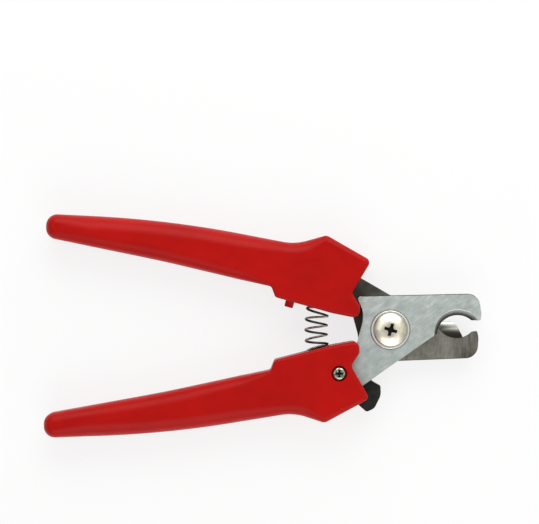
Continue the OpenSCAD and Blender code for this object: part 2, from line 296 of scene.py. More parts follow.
def block(name: str, size: Vector, centre: Vector, taper: Vector | None = None) -> bpy.types.Object:
    """Makes a block, and draws its lower face in to a taper.

    Args:
        name: Name of the piece.
        size: Its size along each axis.
        centre: Its middle.
        taper: Share of its length and width that its lower face keeps.

    Returns:
        The solid.
    """
    deselect()
    bpy.ops.mesh.primitive_cube_add(size=MM, location=centre * MM, scale=size)
    piece = bpy.context.object
    piece.name = piece.data.name = name
    at_origin(piece)
    if taper:
        edit(piece)
        bpy.ops.mesh.select_all(action="DESELECT")
        close_edit()
        for face in piece.data.polygons:
            face.select = face.normal.z < -0.9
        bpy.ops.object.mode_set(mode="EDIT")
        bpy.ops.transform.resize(value=(taper.x, taper.y, 1), center_override=centre * MM)
        close_edit()
    return piece


def apply_modifier(piece: bpy.types.Object, kind: str, settings: Mapping[str, Any]) -> None:
    """Adds a modifier to a piece, sets it and applies it.

    Args:
        piece: The piece.
        kind: Blender's type of the modifier.
        settings: Values by the name of a property.
    """
    deselect()
    piece.select_set(True)
    bpy.context.view_layer.objects.active = piece
    modifier = piece.modifiers.new(kind.lower(), kind)
    for name, value in settings.items():
        setattr(modifier, name, value)
    bpy.ops.object.modifier_apply(modifier=modifier.name)


class Cut(Enum):
    """What a tool body does to the piece that it meets."""

    AWAY = "DIFFERENCE"
    ONTO = "UNION"
    WITHIN = "INTERSECT"


def shape(piece: bpy.types.Object, tools: Sequence[bpy.types.Object], cut: Cut = Cut.AWAY) -> None:
    """Cuts a piece with tool bodies or joins them to it, and deletes them.

    Args:
        piece: The piece.
        tools: The bodies.
        cut: What they do.
    """
    for tool in tools:
        apply_modifier(piece, "BOOLEAN", {"operation": cut.value, "object": tool, "solver": "EXACT"})
        bpy.data.objects.remove(tool)


def soften(piece: bpy.types.Object, width: float, segments: int = 2, angle: float = 28) -> None:
    """Breaks the sharp edges of a piece and smooths its shading.

    Args:
        piece: The piece.
        width: Width of the broken edge. None is broken at 0.
        segments: Faces across a broken edge.
        angle: Turn between two faces from which their edge is sharp.
    """
    edit(piece)
    bpy.ops.mesh.remove_doubles(threshold=WELD * MM)
    bpy.ops.mesh.dissolve_degenerate(threshold=WELD * MM)
    close_edit()
    if width:
        apply_modifier(
            piece,
            "BEVEL",
            {
                "width": width * MM,
                "segments": segments,
                "limit_method": "ANGLE",
                "angle_limit": math.radians(angle),
                "use_clamp_overlap": False,
                "miter_outer": "MITER_ARC",
            },
        )
    deselect()
    piece.select_set(True)
    bpy.context.view_layer.objects.active = piece
    bpy.ops.object.shade_smooth_by_angle(angle=math.radians(angle + 8))
    apply_modifier(piece, "WEIGHTED_NORMAL", {"keep_sharp": True, "weight": 50})


# Finishes


@dataclass(frozen=True)
class Finish:
    """Finish of a surface. Each kind of finish fills in how it shades."""

    name: str

    def material(self) -> bpy.types.Material:
        """Returns the material of this finish, made once."""
        made = bpy.data.materials.get(self.name)
        if made:
            return made
        material = bpy.data.materials.new(self.name)
        material.use_nodes = True
        tree = material.node_tree
        tree.nodes.clear()
        shader = add_node(tree, "ShaderNodeBsdfPrincipled")
        add_node(tree, "ShaderNodeOutputMaterial", links={"Surface": shader.outputs["BSDF"]})
        place = add_node(tree, "ShaderNodeTexCoord").outputs["Object"]
        self.shade(tree, shader, place)
        return material

    def shade(
        self, tree: bpy.types.NodeTree, shader: bpy.types.Node, place: bpy.types.NodeSocket
    ) -> None:
        """Builds the nodes of the finish.

        Args:
            tree: Tree of the material.
            shader: Its surface shader.
            place: Output that gives the place on the object.
        """
        raise NotImplementedError


def grain(
    tree: bpy.types.NodeTree,
    place: bpy.types.NodeSocket,
    size: float,
    detail: float = 3,
    stretch: Vector = Vector((1, 1, 1)),
    lay: float = 0,
) -> bpy.types.NodeSocket:
    """Lays an uneven pattern over a surface.

    Args:
        tree: Tree of the material.
        place: Output that gives the place on the object.
        size: Size of the pattern's cells.
        detail: Number of finer layers in it.
        stretch: How many times longer the cells are along each axis.
        lay: Direction of their length, from the tool's length.

    Returns:
        Output with the pattern's value, from 0 to 1.
    """
    turned_place = add_node(
        tree,
        "ShaderNodeMapping",
        {"vector_type": "TEXTURE", "Rotation": (0, 0, math.radians(lay)), "Scale": stretch},
        {"Vector": place},
    )
    return add_node(
        tree,
        "ShaderNodeTexNoise",
        {"Scale": 1 / (size * MM), "Detail": detail, "Roughness": 0.55},
        {"Vector": turned_place.outputs["Vector"]},
    ).outputs["Fac"]


def between(
    tree: bpy.types.NodeTree, value: bpy.types.NodeSocket, low: float, high: float, crisp: float = 0.2
) -> bpy.types.NodeSocket:
    """Spreads a pattern's middle values over a range.

    Args:
        tree: Tree of the material.
        value: Output with the pattern's value.
        low: Lowest value of the result.
        high: Highest value of the result.
        crisp: Half the width of the band of values that is spread.

    Returns:
        Output with the result.
    """
    return add_node(
        tree,
        "ShaderNodeMapRange",
        {"From Min": 0.5 - crisp, "From Max": 0.5 + crisp, "To Min": low, "To Max": high},
        {"Value": value},
    ).outputs["Result"]


def blended(
    tree: bpy.types.NodeTree,
    share: bpy.types.NodeSocket,
    first: str | bpy.types.NodeSocket,
    second: str | bpy.types.NodeSocket,
) -> bpy.types.NodeSocket:
    """Blends two colours.

    Args:
        tree: Tree of the material.
        share: Output with the share of the second colour.
        first: Hex colour or output shown at 0.
        second: Hex colour or output shown at 1.

    Returns:
        Output with the blended colour.
    """
    # A mix node of colours takes its share at input 0 and its two colours at inputs 6 and 7
    settings: dict[str | int, Any] = {"data_type": "RGBA"}
    links: dict[str | int, bpy.types.NodeSocket] = {0: share}
    for number, colour in ((6, first), (7, second)):
        if isinstance(colour, str):
            settings[number] = linear(colour)
        else:
            links[number] = colour
    return add_node(tree, "ShaderNodeMix", settings, links).outputs[2]


def product(
    tree: bpy.types.NodeTree, first: bpy.types.NodeSocket, second: bpy.types.NodeSocket | float
) -> bpy.types.NodeSocket:
    """Multiplies two values.

    Args:
        tree: Tree of the material.
        first: Output with the first value.
        second: Output with the second value, or a number.

    Returns:
        Output with the product.
    """
    if isinstance(second, float):
        return add_node(tree, "ShaderNodeMath", {"operation": "MULTIPLY", 1: second}, {0: first}).outputs[0]
    return add_node(tree, "ShaderNodeMath", {"operation": "MULTIPLY"}, {0: first, 1: second}).outputs[0]


def slope(
    tree: bpy.types.NodeTree, place: bpy.types.NodeSocket, way: Vector, start: float, end: float
) -> bpy.types.NodeSocket:
    """Rises smoothly from 0 to 1 along a direction.

    Args:
        tree: Tree of the material.
        place: Output that gives the place on the object.
        way: The direction.
        start: Distance along it at which the value leaves 0.
        end: Distance along it at which the value reaches 1.

    Returns:
        Output with the value.
    """
    along = add_node(
        tree, "ShaderNodeVectorMath", {"operation": "DOT_PRODUCT", 1: way.normalized()}, {0: place}
    )
    return add_node(
        tree,
        "ShaderNodeMapRange",
        {"interpolation_type": "SMOOTHSTEP", "From Min": start * MM, "From Max": end * MM},
        {"Value": along.outputs["Value"]},
    ).outputs["Result"]


def ring(
    tree: bpy.types.NodeTree, place: bpy.types.NodeSocket, centre: Vector, start: float, end: float
) -> bpy.types.NodeSocket:
    """Rises smoothly from 0 to 1 with the distance from an upright axis.

    Args:
        tree: Tree of the material.
        place: Output that gives the place on the object.
        centre: A point of the axis.
        start: Distance from it at which the value leaves 0.
        end: Distance from it at which the value reaches 1.

    Returns:
        Output with the value.
    """
    flat = add_node(
        tree, "ShaderNodeVectorMath", {"operation": "MULTIPLY", 1: (1, 1, 0)}, {0: place}
    )
    away = add_node(
        tree,
        "ShaderNodeVectorMath",
        {"operation": "DISTANCE", 1: (centre.x * MM, centre.y * MM, 0)},
        {0: flat.outputs["Vector"]},
    )
    return add_node(
        tree,
        "ShaderNodeMapRange",
        {"interpolation_type": "SMOOTHSTEP", "From Min": start * MM, "From Max": end * MM},
        {"Value": away.outputs["Value"]},
    ).outputs["Result"]


def raise_bump(
    tree: bpy.types.NodeTree,
    shader: bpy.types.Node,
    height: bpy.types.NodeSocket,
    depth: float,
    strength: float = 1,
) -> None:
    """Gives a surface relief.

    Args:
        tree: Tree of the material.
        shader: Its surface shader.
        height: Output with the relief's height, from 0 to 1.
        depth: Depth of the relief.
        strength: Share of it that shows.
    """
    bump = add_node(
        tree, "ShaderNodeBump", {"Strength": strength, "Distance": depth * MM}, {"Height": height}
    )
    tree.links.new(bump.outputs["Normal"], shader.inputs["Normal"])


@dataclass(frozen=True)
class MouldedPlastic(Finish):
    """Injection moulded PVC: one strong colour, slightly cloudy, with broad soft highlights.

    The moulding's orange peel has cells of about 0.5 mm. They are drawn 1.8 mm wide, so that they show.
    """

    body: str = "#b40e09"
    deep: str = "#a70c08"
    cloud: float = 16
    peel: float = 1.8
    peel_depth: float = 0.012

    def shade(
        self, tree: bpy.types.NodeTree, shader: bpy.types.Node, place: bpy.types.NodeSocket
    ) -> None:
        """Builds the nodes of the finish.

        Args:
            tree: Tree of the material.
            shader: Its surface shader.
            place: Output that gives the place on the object.
        """
        cloud = grain(tree, place, self.cloud, 2)
        colour = blended(tree, between(tree, cloud, 0, 1), self.deep, self.body)
        tree.links.new(colour, shader.inputs["Base Color"])
        rough = between(tree, grain(tree, place, self.cloud / 4, 4), 0.34, 0.46)
        tree.links.new(rough, shader.inputs["Roughness"])
        shader.inputs["IOR"].default_value = 1.53
        shader.inputs["Specular IOR Level"].default_value = 0.11
        raise_bump(tree, shader, grain(tree, place, self.peel, 1), self.peel_depth, 0.5)


@dataclass(frozen=True)
class GroundSteel(Finish):
    """Flat ground tool steel: a cool grey with fine scratches along one lay, and uneven patches.

    Grinding leaves scratches of about 0.1 mm. They are drawn 0.34 mm wide, so that they show.
    It is darker towards the handle and towards the end of the tang, and has oily streaks near
    the tip of the jaw. Painted shadow darkens a thin ring round the washer and the gap beside the handle.
    """

    light: str = "#ebefed"
    dark: str = "#ccd2cf"
    stain: str = "#afbcb7"
    lay: float = 38
    scratch: float = 0.34
    patch: float = 3.4
    stain_share: float = 0.7
    roughness: float = 0.5
    drift: float = 0.0
    painted_washer_shadow: float = 0.0
    tip_oil: float = 0.0
    painted_neck_shadow: float = 0.0
    tang_darkening: float = 0.0
    # Colour of the oily streaks near the tip, also used for the painted shadows
    oil_and_shade: str = "#2b2721"

    def shade(
        self, tree: bpy.types.NodeTree, shader: bpy.types.Node, place: bpy.types.NodeSocket
    ) -> None:
        """Builds the nodes of the finish.

        Args:
            tree: Tree of the material.
            shader: Its surface shader.
            place: Output that gives the place on the object.
        """
        scratches = grain(tree, place, self.scratch, 4, Vector((9, 1, 1)), self.lay)
        brushed = blended(tree, between(tree, scratches, 0, 1, 0.22), self.dark, self.light)
        patches = between(tree, grain(tree, place, self.patch, 5), 0, self.stain_share)
        colour = blended(tree, patches, brushed, self.stain)
        colour = self.oiled(tree, place, colour)
        tree.links.new(colour, shader.inputs["Base Color"])
        shader.inputs["Metallic"].default_value = 1
        rough = between(tree, scratches, self.roughness - 0.07, self.roughness + 0.07)
        tree.links.new(rough, shader.inputs["Roughness"])
        raise_bump(tree, shader, scratches, 0.01, 0.35)

    def oiled(
        self, tree: bpy.types.NodeTree, place: bpy.types.NodeSocket, colour: bpy.types.NodeSocket
    ) -> bpy.types.NodeSocket:
        """Darkens the steel in zones and oily streaks, and paints shadow round the washer and by the handle.

        Args:
            tree: Tree of the material.
            place: Output that gives the place on the object.
            colour: Output with the steel's colour.

        Returns:
            Output with the darkened colour.
        """
        axis = Vector((0, 0, 0))
        if self.drift:
            share = product(tree, slope(tree, place, Vector((-0.6, -0.8, 0)), -6, 26), self.drift)
            colour = blended(tree, share, colour, self.stain)
        # Painted shadow: a thin dark ring on the blade round the edge of the washer
        if self.painted_washer_shadow:
            inside = ring(tree, place, axis, self.painted_washer_shadow + 0.45, self.painted_washer_shadow + 0.05)
            colour = blended(tree, product(tree, inside, 0.85), colour, self.oil_and_shade)
        if self.tip_oil:
            streaks = between(tree, grain(tree, place, 1.5, 3, Vector((1, 5, 1))), 0.15, 1, 0.16)
            share = product(tree, slope(tree, place, Vector((1, 0, 0)), 21, 31), self.tip_oil)
            colour = blended(tree, product(tree, streaks, share), colour, self.oil_and_shade)
        # Painted shadow on the rear blade's neck, in the gap between the handle and the front blade
        if self.painted_neck_shadow:
            beside = slope(tree, place, Vector((-1, 0, 0)), 9.6, 10.6)
            near = ring(tree, place, axis, 15.5, 13.8)
            colour = blended(tree, product(tree, product(tree, beside, near), self.painted_neck_shadow), colour, self.oil_and_shade)
        # Darker towards the end of the tang
        if self.tang_darkening:
            share = product(tree, slope(tree, place, Vector((-0.5, 1, 0)), 11.5, 16.5), self.tang_darkening)
            colour = blended(tree, share, colour, self.oil_and_shade)
        return colour


@dataclass(frozen=True)
class HollowGround(Finish):
    """Bevel of a recess, ground with a small wheel: dark at the cutting edge, and lighter outwards."""

    centre: Vector = Vector((0, 0, 0))
    inner: float = 8.0
    outer: float = 10.5
    dark_tone: str = "#33332f"
    clear: str = "#d6dbd8"
    mark: float = 0.35

    def shade(
        self, tree: bpy.types.NodeTree, shader: bpy.types.Node, place: bpy.types.NodeSocket
    ) -> None:
        """Builds the nodes of the finish.

        Args:
            tree: Tree of the material.
            shader: Its surface shader.
            place: Output that gives the place on the object.
        """
        out = ring(tree, place, self.centre, self.inner, self.outer)
        marks = grain(tree, place, self.mark, 4)
        colour = blended(tree, out, self.dark_tone, self.clear)
        colour = blended(tree, between(tree, marks, 0, 0.3), colour, self.dark_tone)
        tree.links.new(colour, shader.inputs["Base Color"])
        shader.inputs["Metallic"].default_value = 1
        tree.links.new(between(tree, marks, 0.34, 0.5), shader.inputs["Roughness"])
        raise_bump(tree, shader, marks, 0.006, 0.35)


@dataclass(frozen=True)
class SteelStripWithPaintedLight(Finish):
    """Pressed steel strip with a painted highlight along its upper side and painted shadow along its lower one."""

    painted_highlight: str = "#efede6"
    worn_and_half_shade: str = "#8f8d86"
    dark: str = "#47453d"
    mark: float = 0.5

    def shade(
        self, tree: bpy.types.NodeTree, shader: bpy.types.Node, place: bpy.types.NodeSocket
    ) -> None:
        """Builds the nodes of the finish.

        Args:
            tree: Tree of the material.
            shader: Its surface shader.
            place: Output that gives the place on the object.
        """
        across = Vector((-0.16, -1, 0))
        marks = grain(tree, place, self.mark, 4, Vector((10, 1, 1)), 6)
        # Painted highlight along the upper side, fading through a mid tone to painted shadow along the lower side
        colour = blended(tree, slope(tree, place, across, -5.5, -4.1), self.painted_highlight, self.worn_and_half_shade)
        colour = blended(tree, slope(tree, place, across, -4.9, -2.3), colour, self.dark)
        colour = blended(tree, between(tree, marks, 0, 0.22), colour, self.dark)
        tree.links.new(colour, shader.inputs["Base Color"])
        shader.inputs["Metallic"].default_value = 1
        tree.links.new(between(tree, marks, 0.24, 0.36), shader.inputs["Roughness"])
        raise_bump(tree, shader, marks, 0.006, 0.3)


@dataclass(frozen=True)
class PlatedSteel(Finish):
    """Nickel plated steel: a bright, warm mirror that handling has dulled in spots.

    Turning has left fine rings on a screw's head, so that its highlights spread to fans. Painted shadow
    lies in a thin ring where the edge of a head rests on a washer.
    """

    bright: str = "#e9e5d3"
    dull: str = "#d2cdb9"
    spot: float = 1.2
    roughness: float = 0.16
    painted_shadow_ring: float = 0.0
    turned_rings: float = 0.0

    def shade(
        self, tree: bpy.types.NodeTree, shader: bpy.types.Node, place: bpy.types.NodeSocket
    ) -> None:
        """Builds the nodes of the finish.

        Args:
            tree: Tree of the material.
            shader: Its surface shader.
            place: Output that gives the place on the object.
        """
        spots = grain(tree, place, self.spot, 4)
        colour = blended(tree, between(tree, spots, 0, 1, 0.15), self.bright, self.dull)
        # Painted shadow: a thin dark ring under the edge of the screw's head
        if self.painted_shadow_ring:
            under = ring(tree, place, Vector((0, 0, 0)), self.painted_shadow_ring + 0.22, self.painted_shadow_ring + 0.04)
            colour = blended(tree, product(tree, under, 0.9), colour, "#2a261f")
        tree.links.new(colour, shader.inputs["Base Color"])
        shader.inputs["Metallic"].default_value = 1
        if self.turned_rings:
            round_axis = add_node(tree, "ShaderNodeTangent", {"direction_type": "RADIAL", "axis": "Z"})
            tree.links.new(round_axis.outputs["Tangent"], shader.inputs["Tangent"])
            shader.inputs["Anisotropic"].default_value = self.turned_rings
        rough = between(tree, spots, self.roughness, self.roughness + 0.14)
        tree.links.new(rough, shader.inputs["Roughness"])
        raise_bump(tree, shader, spots, 0.006, 0.4)


@dataclass(frozen=True)
class DrawnWire(Finish):
    """Drawn spring steel wire: grey and fairly bright, with dark drawing marks round it.

    A painted dark reflection darkens the strands on the front of the coil, those at the back are lighter.
    """

    light: str = "#d2cfc6"
    dark: str = "#84817a"
    black: str = "#2c2a28"
    mark: float = 1.1
    painted_dark_from: float = 4.6
    black_above: float = 9.6

    def shade(
        self, tree: bpy.types.NodeTree, shader: bpy.types.Node, place: bpy.types.NodeSocket
    ) -> None:
        """Builds the nodes of the finish.

        Args:
            tree: Tree of the material.
            shader: Its surface shader.
            place: Output that gives the place on the object.
        """
        marks = grain(tree, place, self.mark, 4)
        colour = blended(tree, between(tree, marks, 0, 1), self.light, self.dark)
        # Painted dark reflection on the strands at the front of the coil, darker the higher they lie
        front = slope(tree, place, Vector((0, 0, 1)), self.painted_dark_from, self.black_above)
        colour = blended(tree, product(tree, front, 0.93), colour, self.black)
        tree.links.new(colour, shader.inputs["Base Color"])
        shader.inputs["Metallic"].default_value = 1
        tree.links.new(between(tree, marks, 0.3, 0.44), shader.inputs["Roughness"])
        raise_bump(tree, shader, marks, 0.004, 0.3)


@dataclass(frozen=True)
class BlackedSteel(Finish):
    """Blacked and oiled steel: nearly black with a green cast, and a dull sheen that wear breaks up."""

    body: str = "#121610"
    worn_and_half_shade: str = "#20241d"
    fleck: float = 2.2

    def shade(
        self, tree: bpy.types.NodeTree, shader: bpy.types.Node, place: bpy.types.NodeSocket
    ) -> None:
        """Builds the nodes of the finish.

        Args:
            tree: Tree of the material.
            shader: Its surface shader.
            place: Output that gives the place on the object.
        """
        flecks = grain(tree, place, self.fleck, 5)
        colour = blended(tree, between(tree, flecks, 0, 1), self.body, self.worn_and_half_shade)
        tree.links.new(colour, shader.inputs["Base Color"])
        shader.inputs["Specular IOR Level"].default_value = 0.3
        tree.links.new(between(tree, flecks, 0.36, 0.52), shader.inputs["Roughness"])
        raise_bump(tree, shader, flecks, 0.008, 0.4)


RED_PLASTIC = MouldedPlastic("moulded_red_pvc")
FRONT_STEEL = GroundSteel("ground_steel_bright", drift=0.4, painted_washer_shadow=7.3)
FRONT_BEVEL = HollowGround("hollow_ground_bevel", Vector((25.7, -2.6, 0)))
REAR_STEEL = GroundSteel(
    "ground_steel_brown", "#aba99f", "#8e8c83", "#67655c", 84, 0.5, 4, 0.7, 0.5, tip_oil=0.6, painted_neck_shadow=0.9,
    tang_darkening=0.7,
)
REAR_BEVEL = GroundSteel("ground_steel_brown_bevel", "#77756c", "#5f5d55", "#4a4942", 80, roughness=0.38)
BLANKED_EDGE = GroundSteel("blanked_steel_edge", "#4a4c49", "#3a3c39", "#2e302c", 0, 0.6, 3, 0.6, 0.55)
NICKEL = PlatedSteel("nickel_plated_steel")
SCREW_NICKEL = PlatedSteel("nickel_plated_turned_head", "#efeada", "#d6d0bb", 1.2, 0.27, 0, 0.7)
LOCK_ZINC = PlatedSteel("olive_zinc_plated_head", "#e4e4cf", "#4d6a52", 0.9, 0.24)
WASHER_STEEL = PlatedSteel("nickel_plated_washer", "#f6f7f2", "#e2e3dd", 0.9, 0.4, 6.4)
GUARD_STEEL = SteelStripWithPaintedLight("steel_strip_painted_light")
SPRING_STEEL = DrawnWire("drawn_spring_wire")
BLACK_STEEL = BlackedSteel("blacked_steel")
# Painted shade for the cross recesses of the screws
RECESS_SHADE = BlackedSteel("painted_recess_shade", "#0c0906", "#1a150f", 0.6)


def put_on(piece: bpy.types.Object, *finishes: Finish) -> None:
    """Gives a piece its finishes, the first of them all over.

    Args:
        piece: The piece.
        finishes: Finishes in the order of the material slots.
    """
    piece.data.materials.clear()
    for finish in finishes:
        piece.data.materials.append(finish.material())
    for face in piece.data.polygons:
        face.material_index = 0


def hand_over(piece: bpy.types.Object, body: str, node: str) -> None:
    """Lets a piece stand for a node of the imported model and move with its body.

    Args:
        piece: The piece.
        body: Body that it moves with.
        node: Node that it stands for.
    """
    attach(piece, body)
    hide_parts(node)
    LOG.info("%s: %d faces, on %s", piece.name, len(piece.data.polygons), body)


# Sub-assemblies


class Side(Enum):
    """Half of the tool."""

    LOWER = "lower"
    UPPER = "upper"

    @property
    def body(self) -> str:
        """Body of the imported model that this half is."""
        return f"{self.value}_half"


@dataclass(frozen=True)
class Stack:
    """Thickness of the tool's layers, and how its two halves lie to each other."""

    thickness: float = 15
    blade: float = 2.8
    blade_gap: float = 0.1
    guard: float = 1.1
    guard_gap: float = 0.05
    front_washer: float = 0.8
    rear_washer: float = 0.6
    upper_open: float = 1.3

    @property
    def middle(self) -> float:
        """Height of the plane between the blades."""
        return self.thickness / 2

    @property
    def front_blade(self) -> float:
        """Height of the front blade's lower face."""
        return self.middle + self.blade_gap / 2

    @property
    def front_top(self) -> float:
        """Height of the front blade's upper face."""
        return self.front_blade + self.blade

    @property
    def rear_blade(self) -> float:
        """Height of the rear blade's lower face."""
        return self.middle - self.blade_gap / 2 - self.blade

    @property
    def guard_top(self) -> float:
        """Height of the guard plate's upper face."""
        return self.rear_blade - self.guard_gap

    @property
    def nut_top(self) -> float:
        """Height of the nut's upper face, under the rear washer."""
        return self.guard_top - self.guard - self.guard_gap - self.rear_washer

    @property
    def head(self) -> float:
        """Height of the front washer's upper face, which the screw's head sits on."""
        return self.front_top + self.front_washer

    def turn_over(self, piece: bpy.types.Object, side: Side) -> bpy.types.Object:
        """Turns a piece of the lower half over into its place in the upper half.

        Args:
            piece: Piece that was modelled in the lower half's place.
            side: Half that it belongs to.

        Returns:
            The piece, moved only if it belongs to the upper half.
        """
        if side is Side.UPPER:
            over = Matrix.Translation((0, 0, self.thickness * MM)) @ Matrix.Rotation(math.pi, 4, "X")
            piece.matrix_world = Matrix.Rotation(math.radians(-self.upper_open), 4, "Z") @ over
        return at_origin(piece)


@dataclass(frozen=True)
class Pivots:
    """Places of the screws and of the spring's seats, and the sizes of their holes.

    A seat is bored square to the straight inner edge of a handle's head, from edge_back to edge_front.
    """

    pivot_hole: float = 6.1
    edge_front: Vector = Vector((-22.3, -5.8, 0))
    edge_back: Vector = Vector((-44, -11.4, 0))
    seat_x: float = 28
    seat_depth: float = 6
    seat_radius: float = 5.1
    lock: Vector = Vector((-19.5, -16.5, 0))
    lock_screw: float = 3
    lock_hole: float = 3.3

    @property
    def edge_way(self) -> Vector:
        """Direction of the inner edge of a handle's head, towards the jaws."""
        return (self.edge_front - self.edge_back).normalized()

    @property
    def seat_way(self) -> Vector:
        """Direction in which a seat opens."""
        return Vector((-self.edge_way.y, self.edge_way.x, 0))

    @property
    def seat_floor(self) -> Vector:
        """Middle of a seat's floor."""
        return self.edge_at(-self.seat_x) - self.seat_way * self.seat_depth

    def edge_at(self, x: float) -> Vector:
        """Returns the point of the inner edge at a distance along the tool."""
        return self.edge_back + self.edge_way * ((x - self.edge_back.x) / self.edge_way.x)


@dataclass(frozen=True)
class BladePair:
    """The two blades: a head with a round, ground recess, on a tang that runs into the handle."""

    stack: Stack
    pivots: Pivots
    jaw_length: float = 34.6
    rear_short: float = 1.3
    rear_set: float = 6.3
    back: float = 13.7
    front_heel: float = 12.7
    rear_heel: float = 11.5
    tip: float = 3.5
    recess: Vector = Vector((25.7, -2.6, 0))
    recess_radius: float = 8.05
    bevel: float = 2.2
    bevel_shift: float = 1.3
    bevel_land: float = 0.3
    edge: float = 0.2
    front_neck: tuple[Corner, ...] = (
        Corner(-10.2, 7, 9),
        Corner(-10.6, 2.6, 12),
        Corner(-12.6, -5.2),
    )
    rear_neck: tuple[Corner, ...] = (
        Corner(-10.8, 8, 3),
        Corner(-12.1, 4.5, 5),
        Corner(-12.4, 0.3, 6),
        Corner(-13.4, -5.2, 3),
    )
    tang: tuple[Corner, ...] = (
        Corner(-11.8, -4.35),
        Corner(-22.4, -14.2, 6),
        Corner(-60, -22.6, 2.5),
        Corner(-60, -29.2, 2.5),
        Corner(-30, -26.4, 20),
        Corner(-15, -23),
        Corner(-6, -12),
    )

    def head(self, side: Side) -> list[Corner]:
        """Returns the corners of a blade's head, from its heel round the jaw."""
        end = self.jaw_length - (self.rear_short if side is Side.UPPER else 0)
        return [
            Corner(-13.1, self.rear_heel if side is Side.UPPER else self.front_heel, 1.2),
            *(self.rear_neck if side is Side.UPPER else self.front_neck),
            Corner(-15.5, -24.84),
            Corner(17.7, -1.5),
            Corner(self.recess.x, self.recess.y),
            Corner(self.recess.x + 4, self.tip),
            Corner(end - 0.3, self.tip, 0.5),
            Corner(end + 0.15, 5.6, 8),
            Corner(end - 1.1, self.back, 4.8),
        ]

    def head_turn(self, side: Side) -> Matrix:
        """Returns the turn of a blade's head on its tang."""
        return Matrix.Rotation(math.radians(-self.rear_set if side is Side.UPPER else 0), 4, "Z")

    def blank(self, side: Side, grow: float = 0) -> bpy.types.Object:
        """Makes a blade before it is bored and ground, in the lower half's place.

        Args:
            side: Half that the blade belongs to.
            grow: How much thicker it is on each face, for the slot that it lies in.

        Returns:
            The blank.
        """
        levels = (self.stack.front_blade - grow, self.stack.front_top + grow)
        head = plate("head_blank", [p.place for p in rounded_outline(self.head(side), 99)], levels)
        head.matrix_world = self.head_turn(side)
        at_origin(head)
        tang = plate("tang_blank", [p.place for p in rounded_outline(self.tang, 99)], levels)
        shape(head, [tang], Cut.ONTO)
        return head

    def spring_seat(self) -> bpy.types.Object:
        """Returns the tool that bores the spring's seat."""
        centre = self.pivots.seat_floor + Vector((0, 0, self.stack.middle))
        radius, depth = self.pivots.seat_radius, 2 * self.pivots.seat_depth
        profile = [(0, 0), (radius, 0), (radius, depth), (0, depth)]
        return turned("seat_tool", profile, centre, 64, self.pivots.seat_way)

    def build(self, side: Side) -> bpy.types.Object:
        """Models and dresses one blade.

        Args:
            side: Half that the blade belongs to.

        Returns:
            The blade.
        """
        low, top = self.stack.front_blade, self.stack.front_top
        blade = self.blank(side)
        blade.name = blade.data.name = (
            "front_blade_ground" if side is Side.LOWER else "rear_blade_ground"
        )
        tools = self.recess_tools(side)
        tools += [self.drill(Vector((0, 0, 0)), self.pivots.pivot_hole / 2), self.spring_seat()]
        if side is Side.LOWER:
            tools.append(self.drill(self.pivots.lock, self.pivots.lock_hole / 2))
        shape(blade, tools)
        soften(blade, self.edge, 2, 24)
        self.dress(blade, side)
        self.stack.turn_over(blade, side)
        node, slot = ("front_blade", "front_steel") if side is Side.LOWER else ("rear_blade", "rear_steel")
        hand_over(blade, side.body, node)
        return blade

    def recess_tools(self, side: Side) -> list[bpy.types.Object]:
        """Models the tools that cut the round recess and grind its bevel.

        Args:
            side: Half that the blade belongs to.

        Returns:
            The drill, and the cone whose axis lies off the recess's centre.
        """
        low, top = self.stack.front_blade, self.stack.front_top
        flare = self.bevel / (top - low - self.bevel_land)
        start = self.recess_radius - self.bevel_shift - self.bevel_land * flare
        end = start + (top + 1 - low) * flare
        turn = self.head_turn(side)
        cone = turned(
            "bevel_tool",
            [(0, low), (start, low), (end, top + 1), (0, top + 1)],
            turn @ (self.recess + Vector((0, self.bevel_shift, 0))),
            144,
        )
        return [self.drill(turn @ self.recess, self.recess_radius, 144), cone]

    def drill(self, centre: Vector, radius: float, steps: int = 64) -> bpy.types.Object:
        """Returns the tool that drills a round hole through a blade."""
        low, top = self.stack.front_blade - 1, self.stack.front_top + 1
        return turned("drill", [(0, low), (radius, low), (radius, top), (0, top)], centre, steps)

    def dress(self, blade: bpy.types.Object, side: Side) -> None:
        """Dresses a blade: bright faces, a darker bevel round its recess and a dull blanked back edge.

        Towards the tip the rolled corner of the back edge is dull too.

        Args:
            blade: The blade, still in the lower half's place.
            side: Half that it belongs to.
        """
        front = side is Side.LOWER
        put_on(blade, FRONT_STEEL if front else REAR_STEEL, FRONT_BEVEL if front else REAR_BEVEL, BLANKED_EDGE)
        cone = (self.head_turn(side) @ (self.recess + Vector((0, self.bevel_shift, 0)))).xy * MM
        reach = (self.recess_radius - self.bevel_shift + self.bevel + self.edge) * MM
        for face in blade.data.polygons:
            if abs(face.normal.z) < 0.93 and (face.center.xy - cone).length < reach:
                face.material_index = 1
            elif abs(face.normal.z) < (0.97 if face.center.x > 8 * MM else 0.75) and face.normal.y > 0.3:
                face.material_index = 2


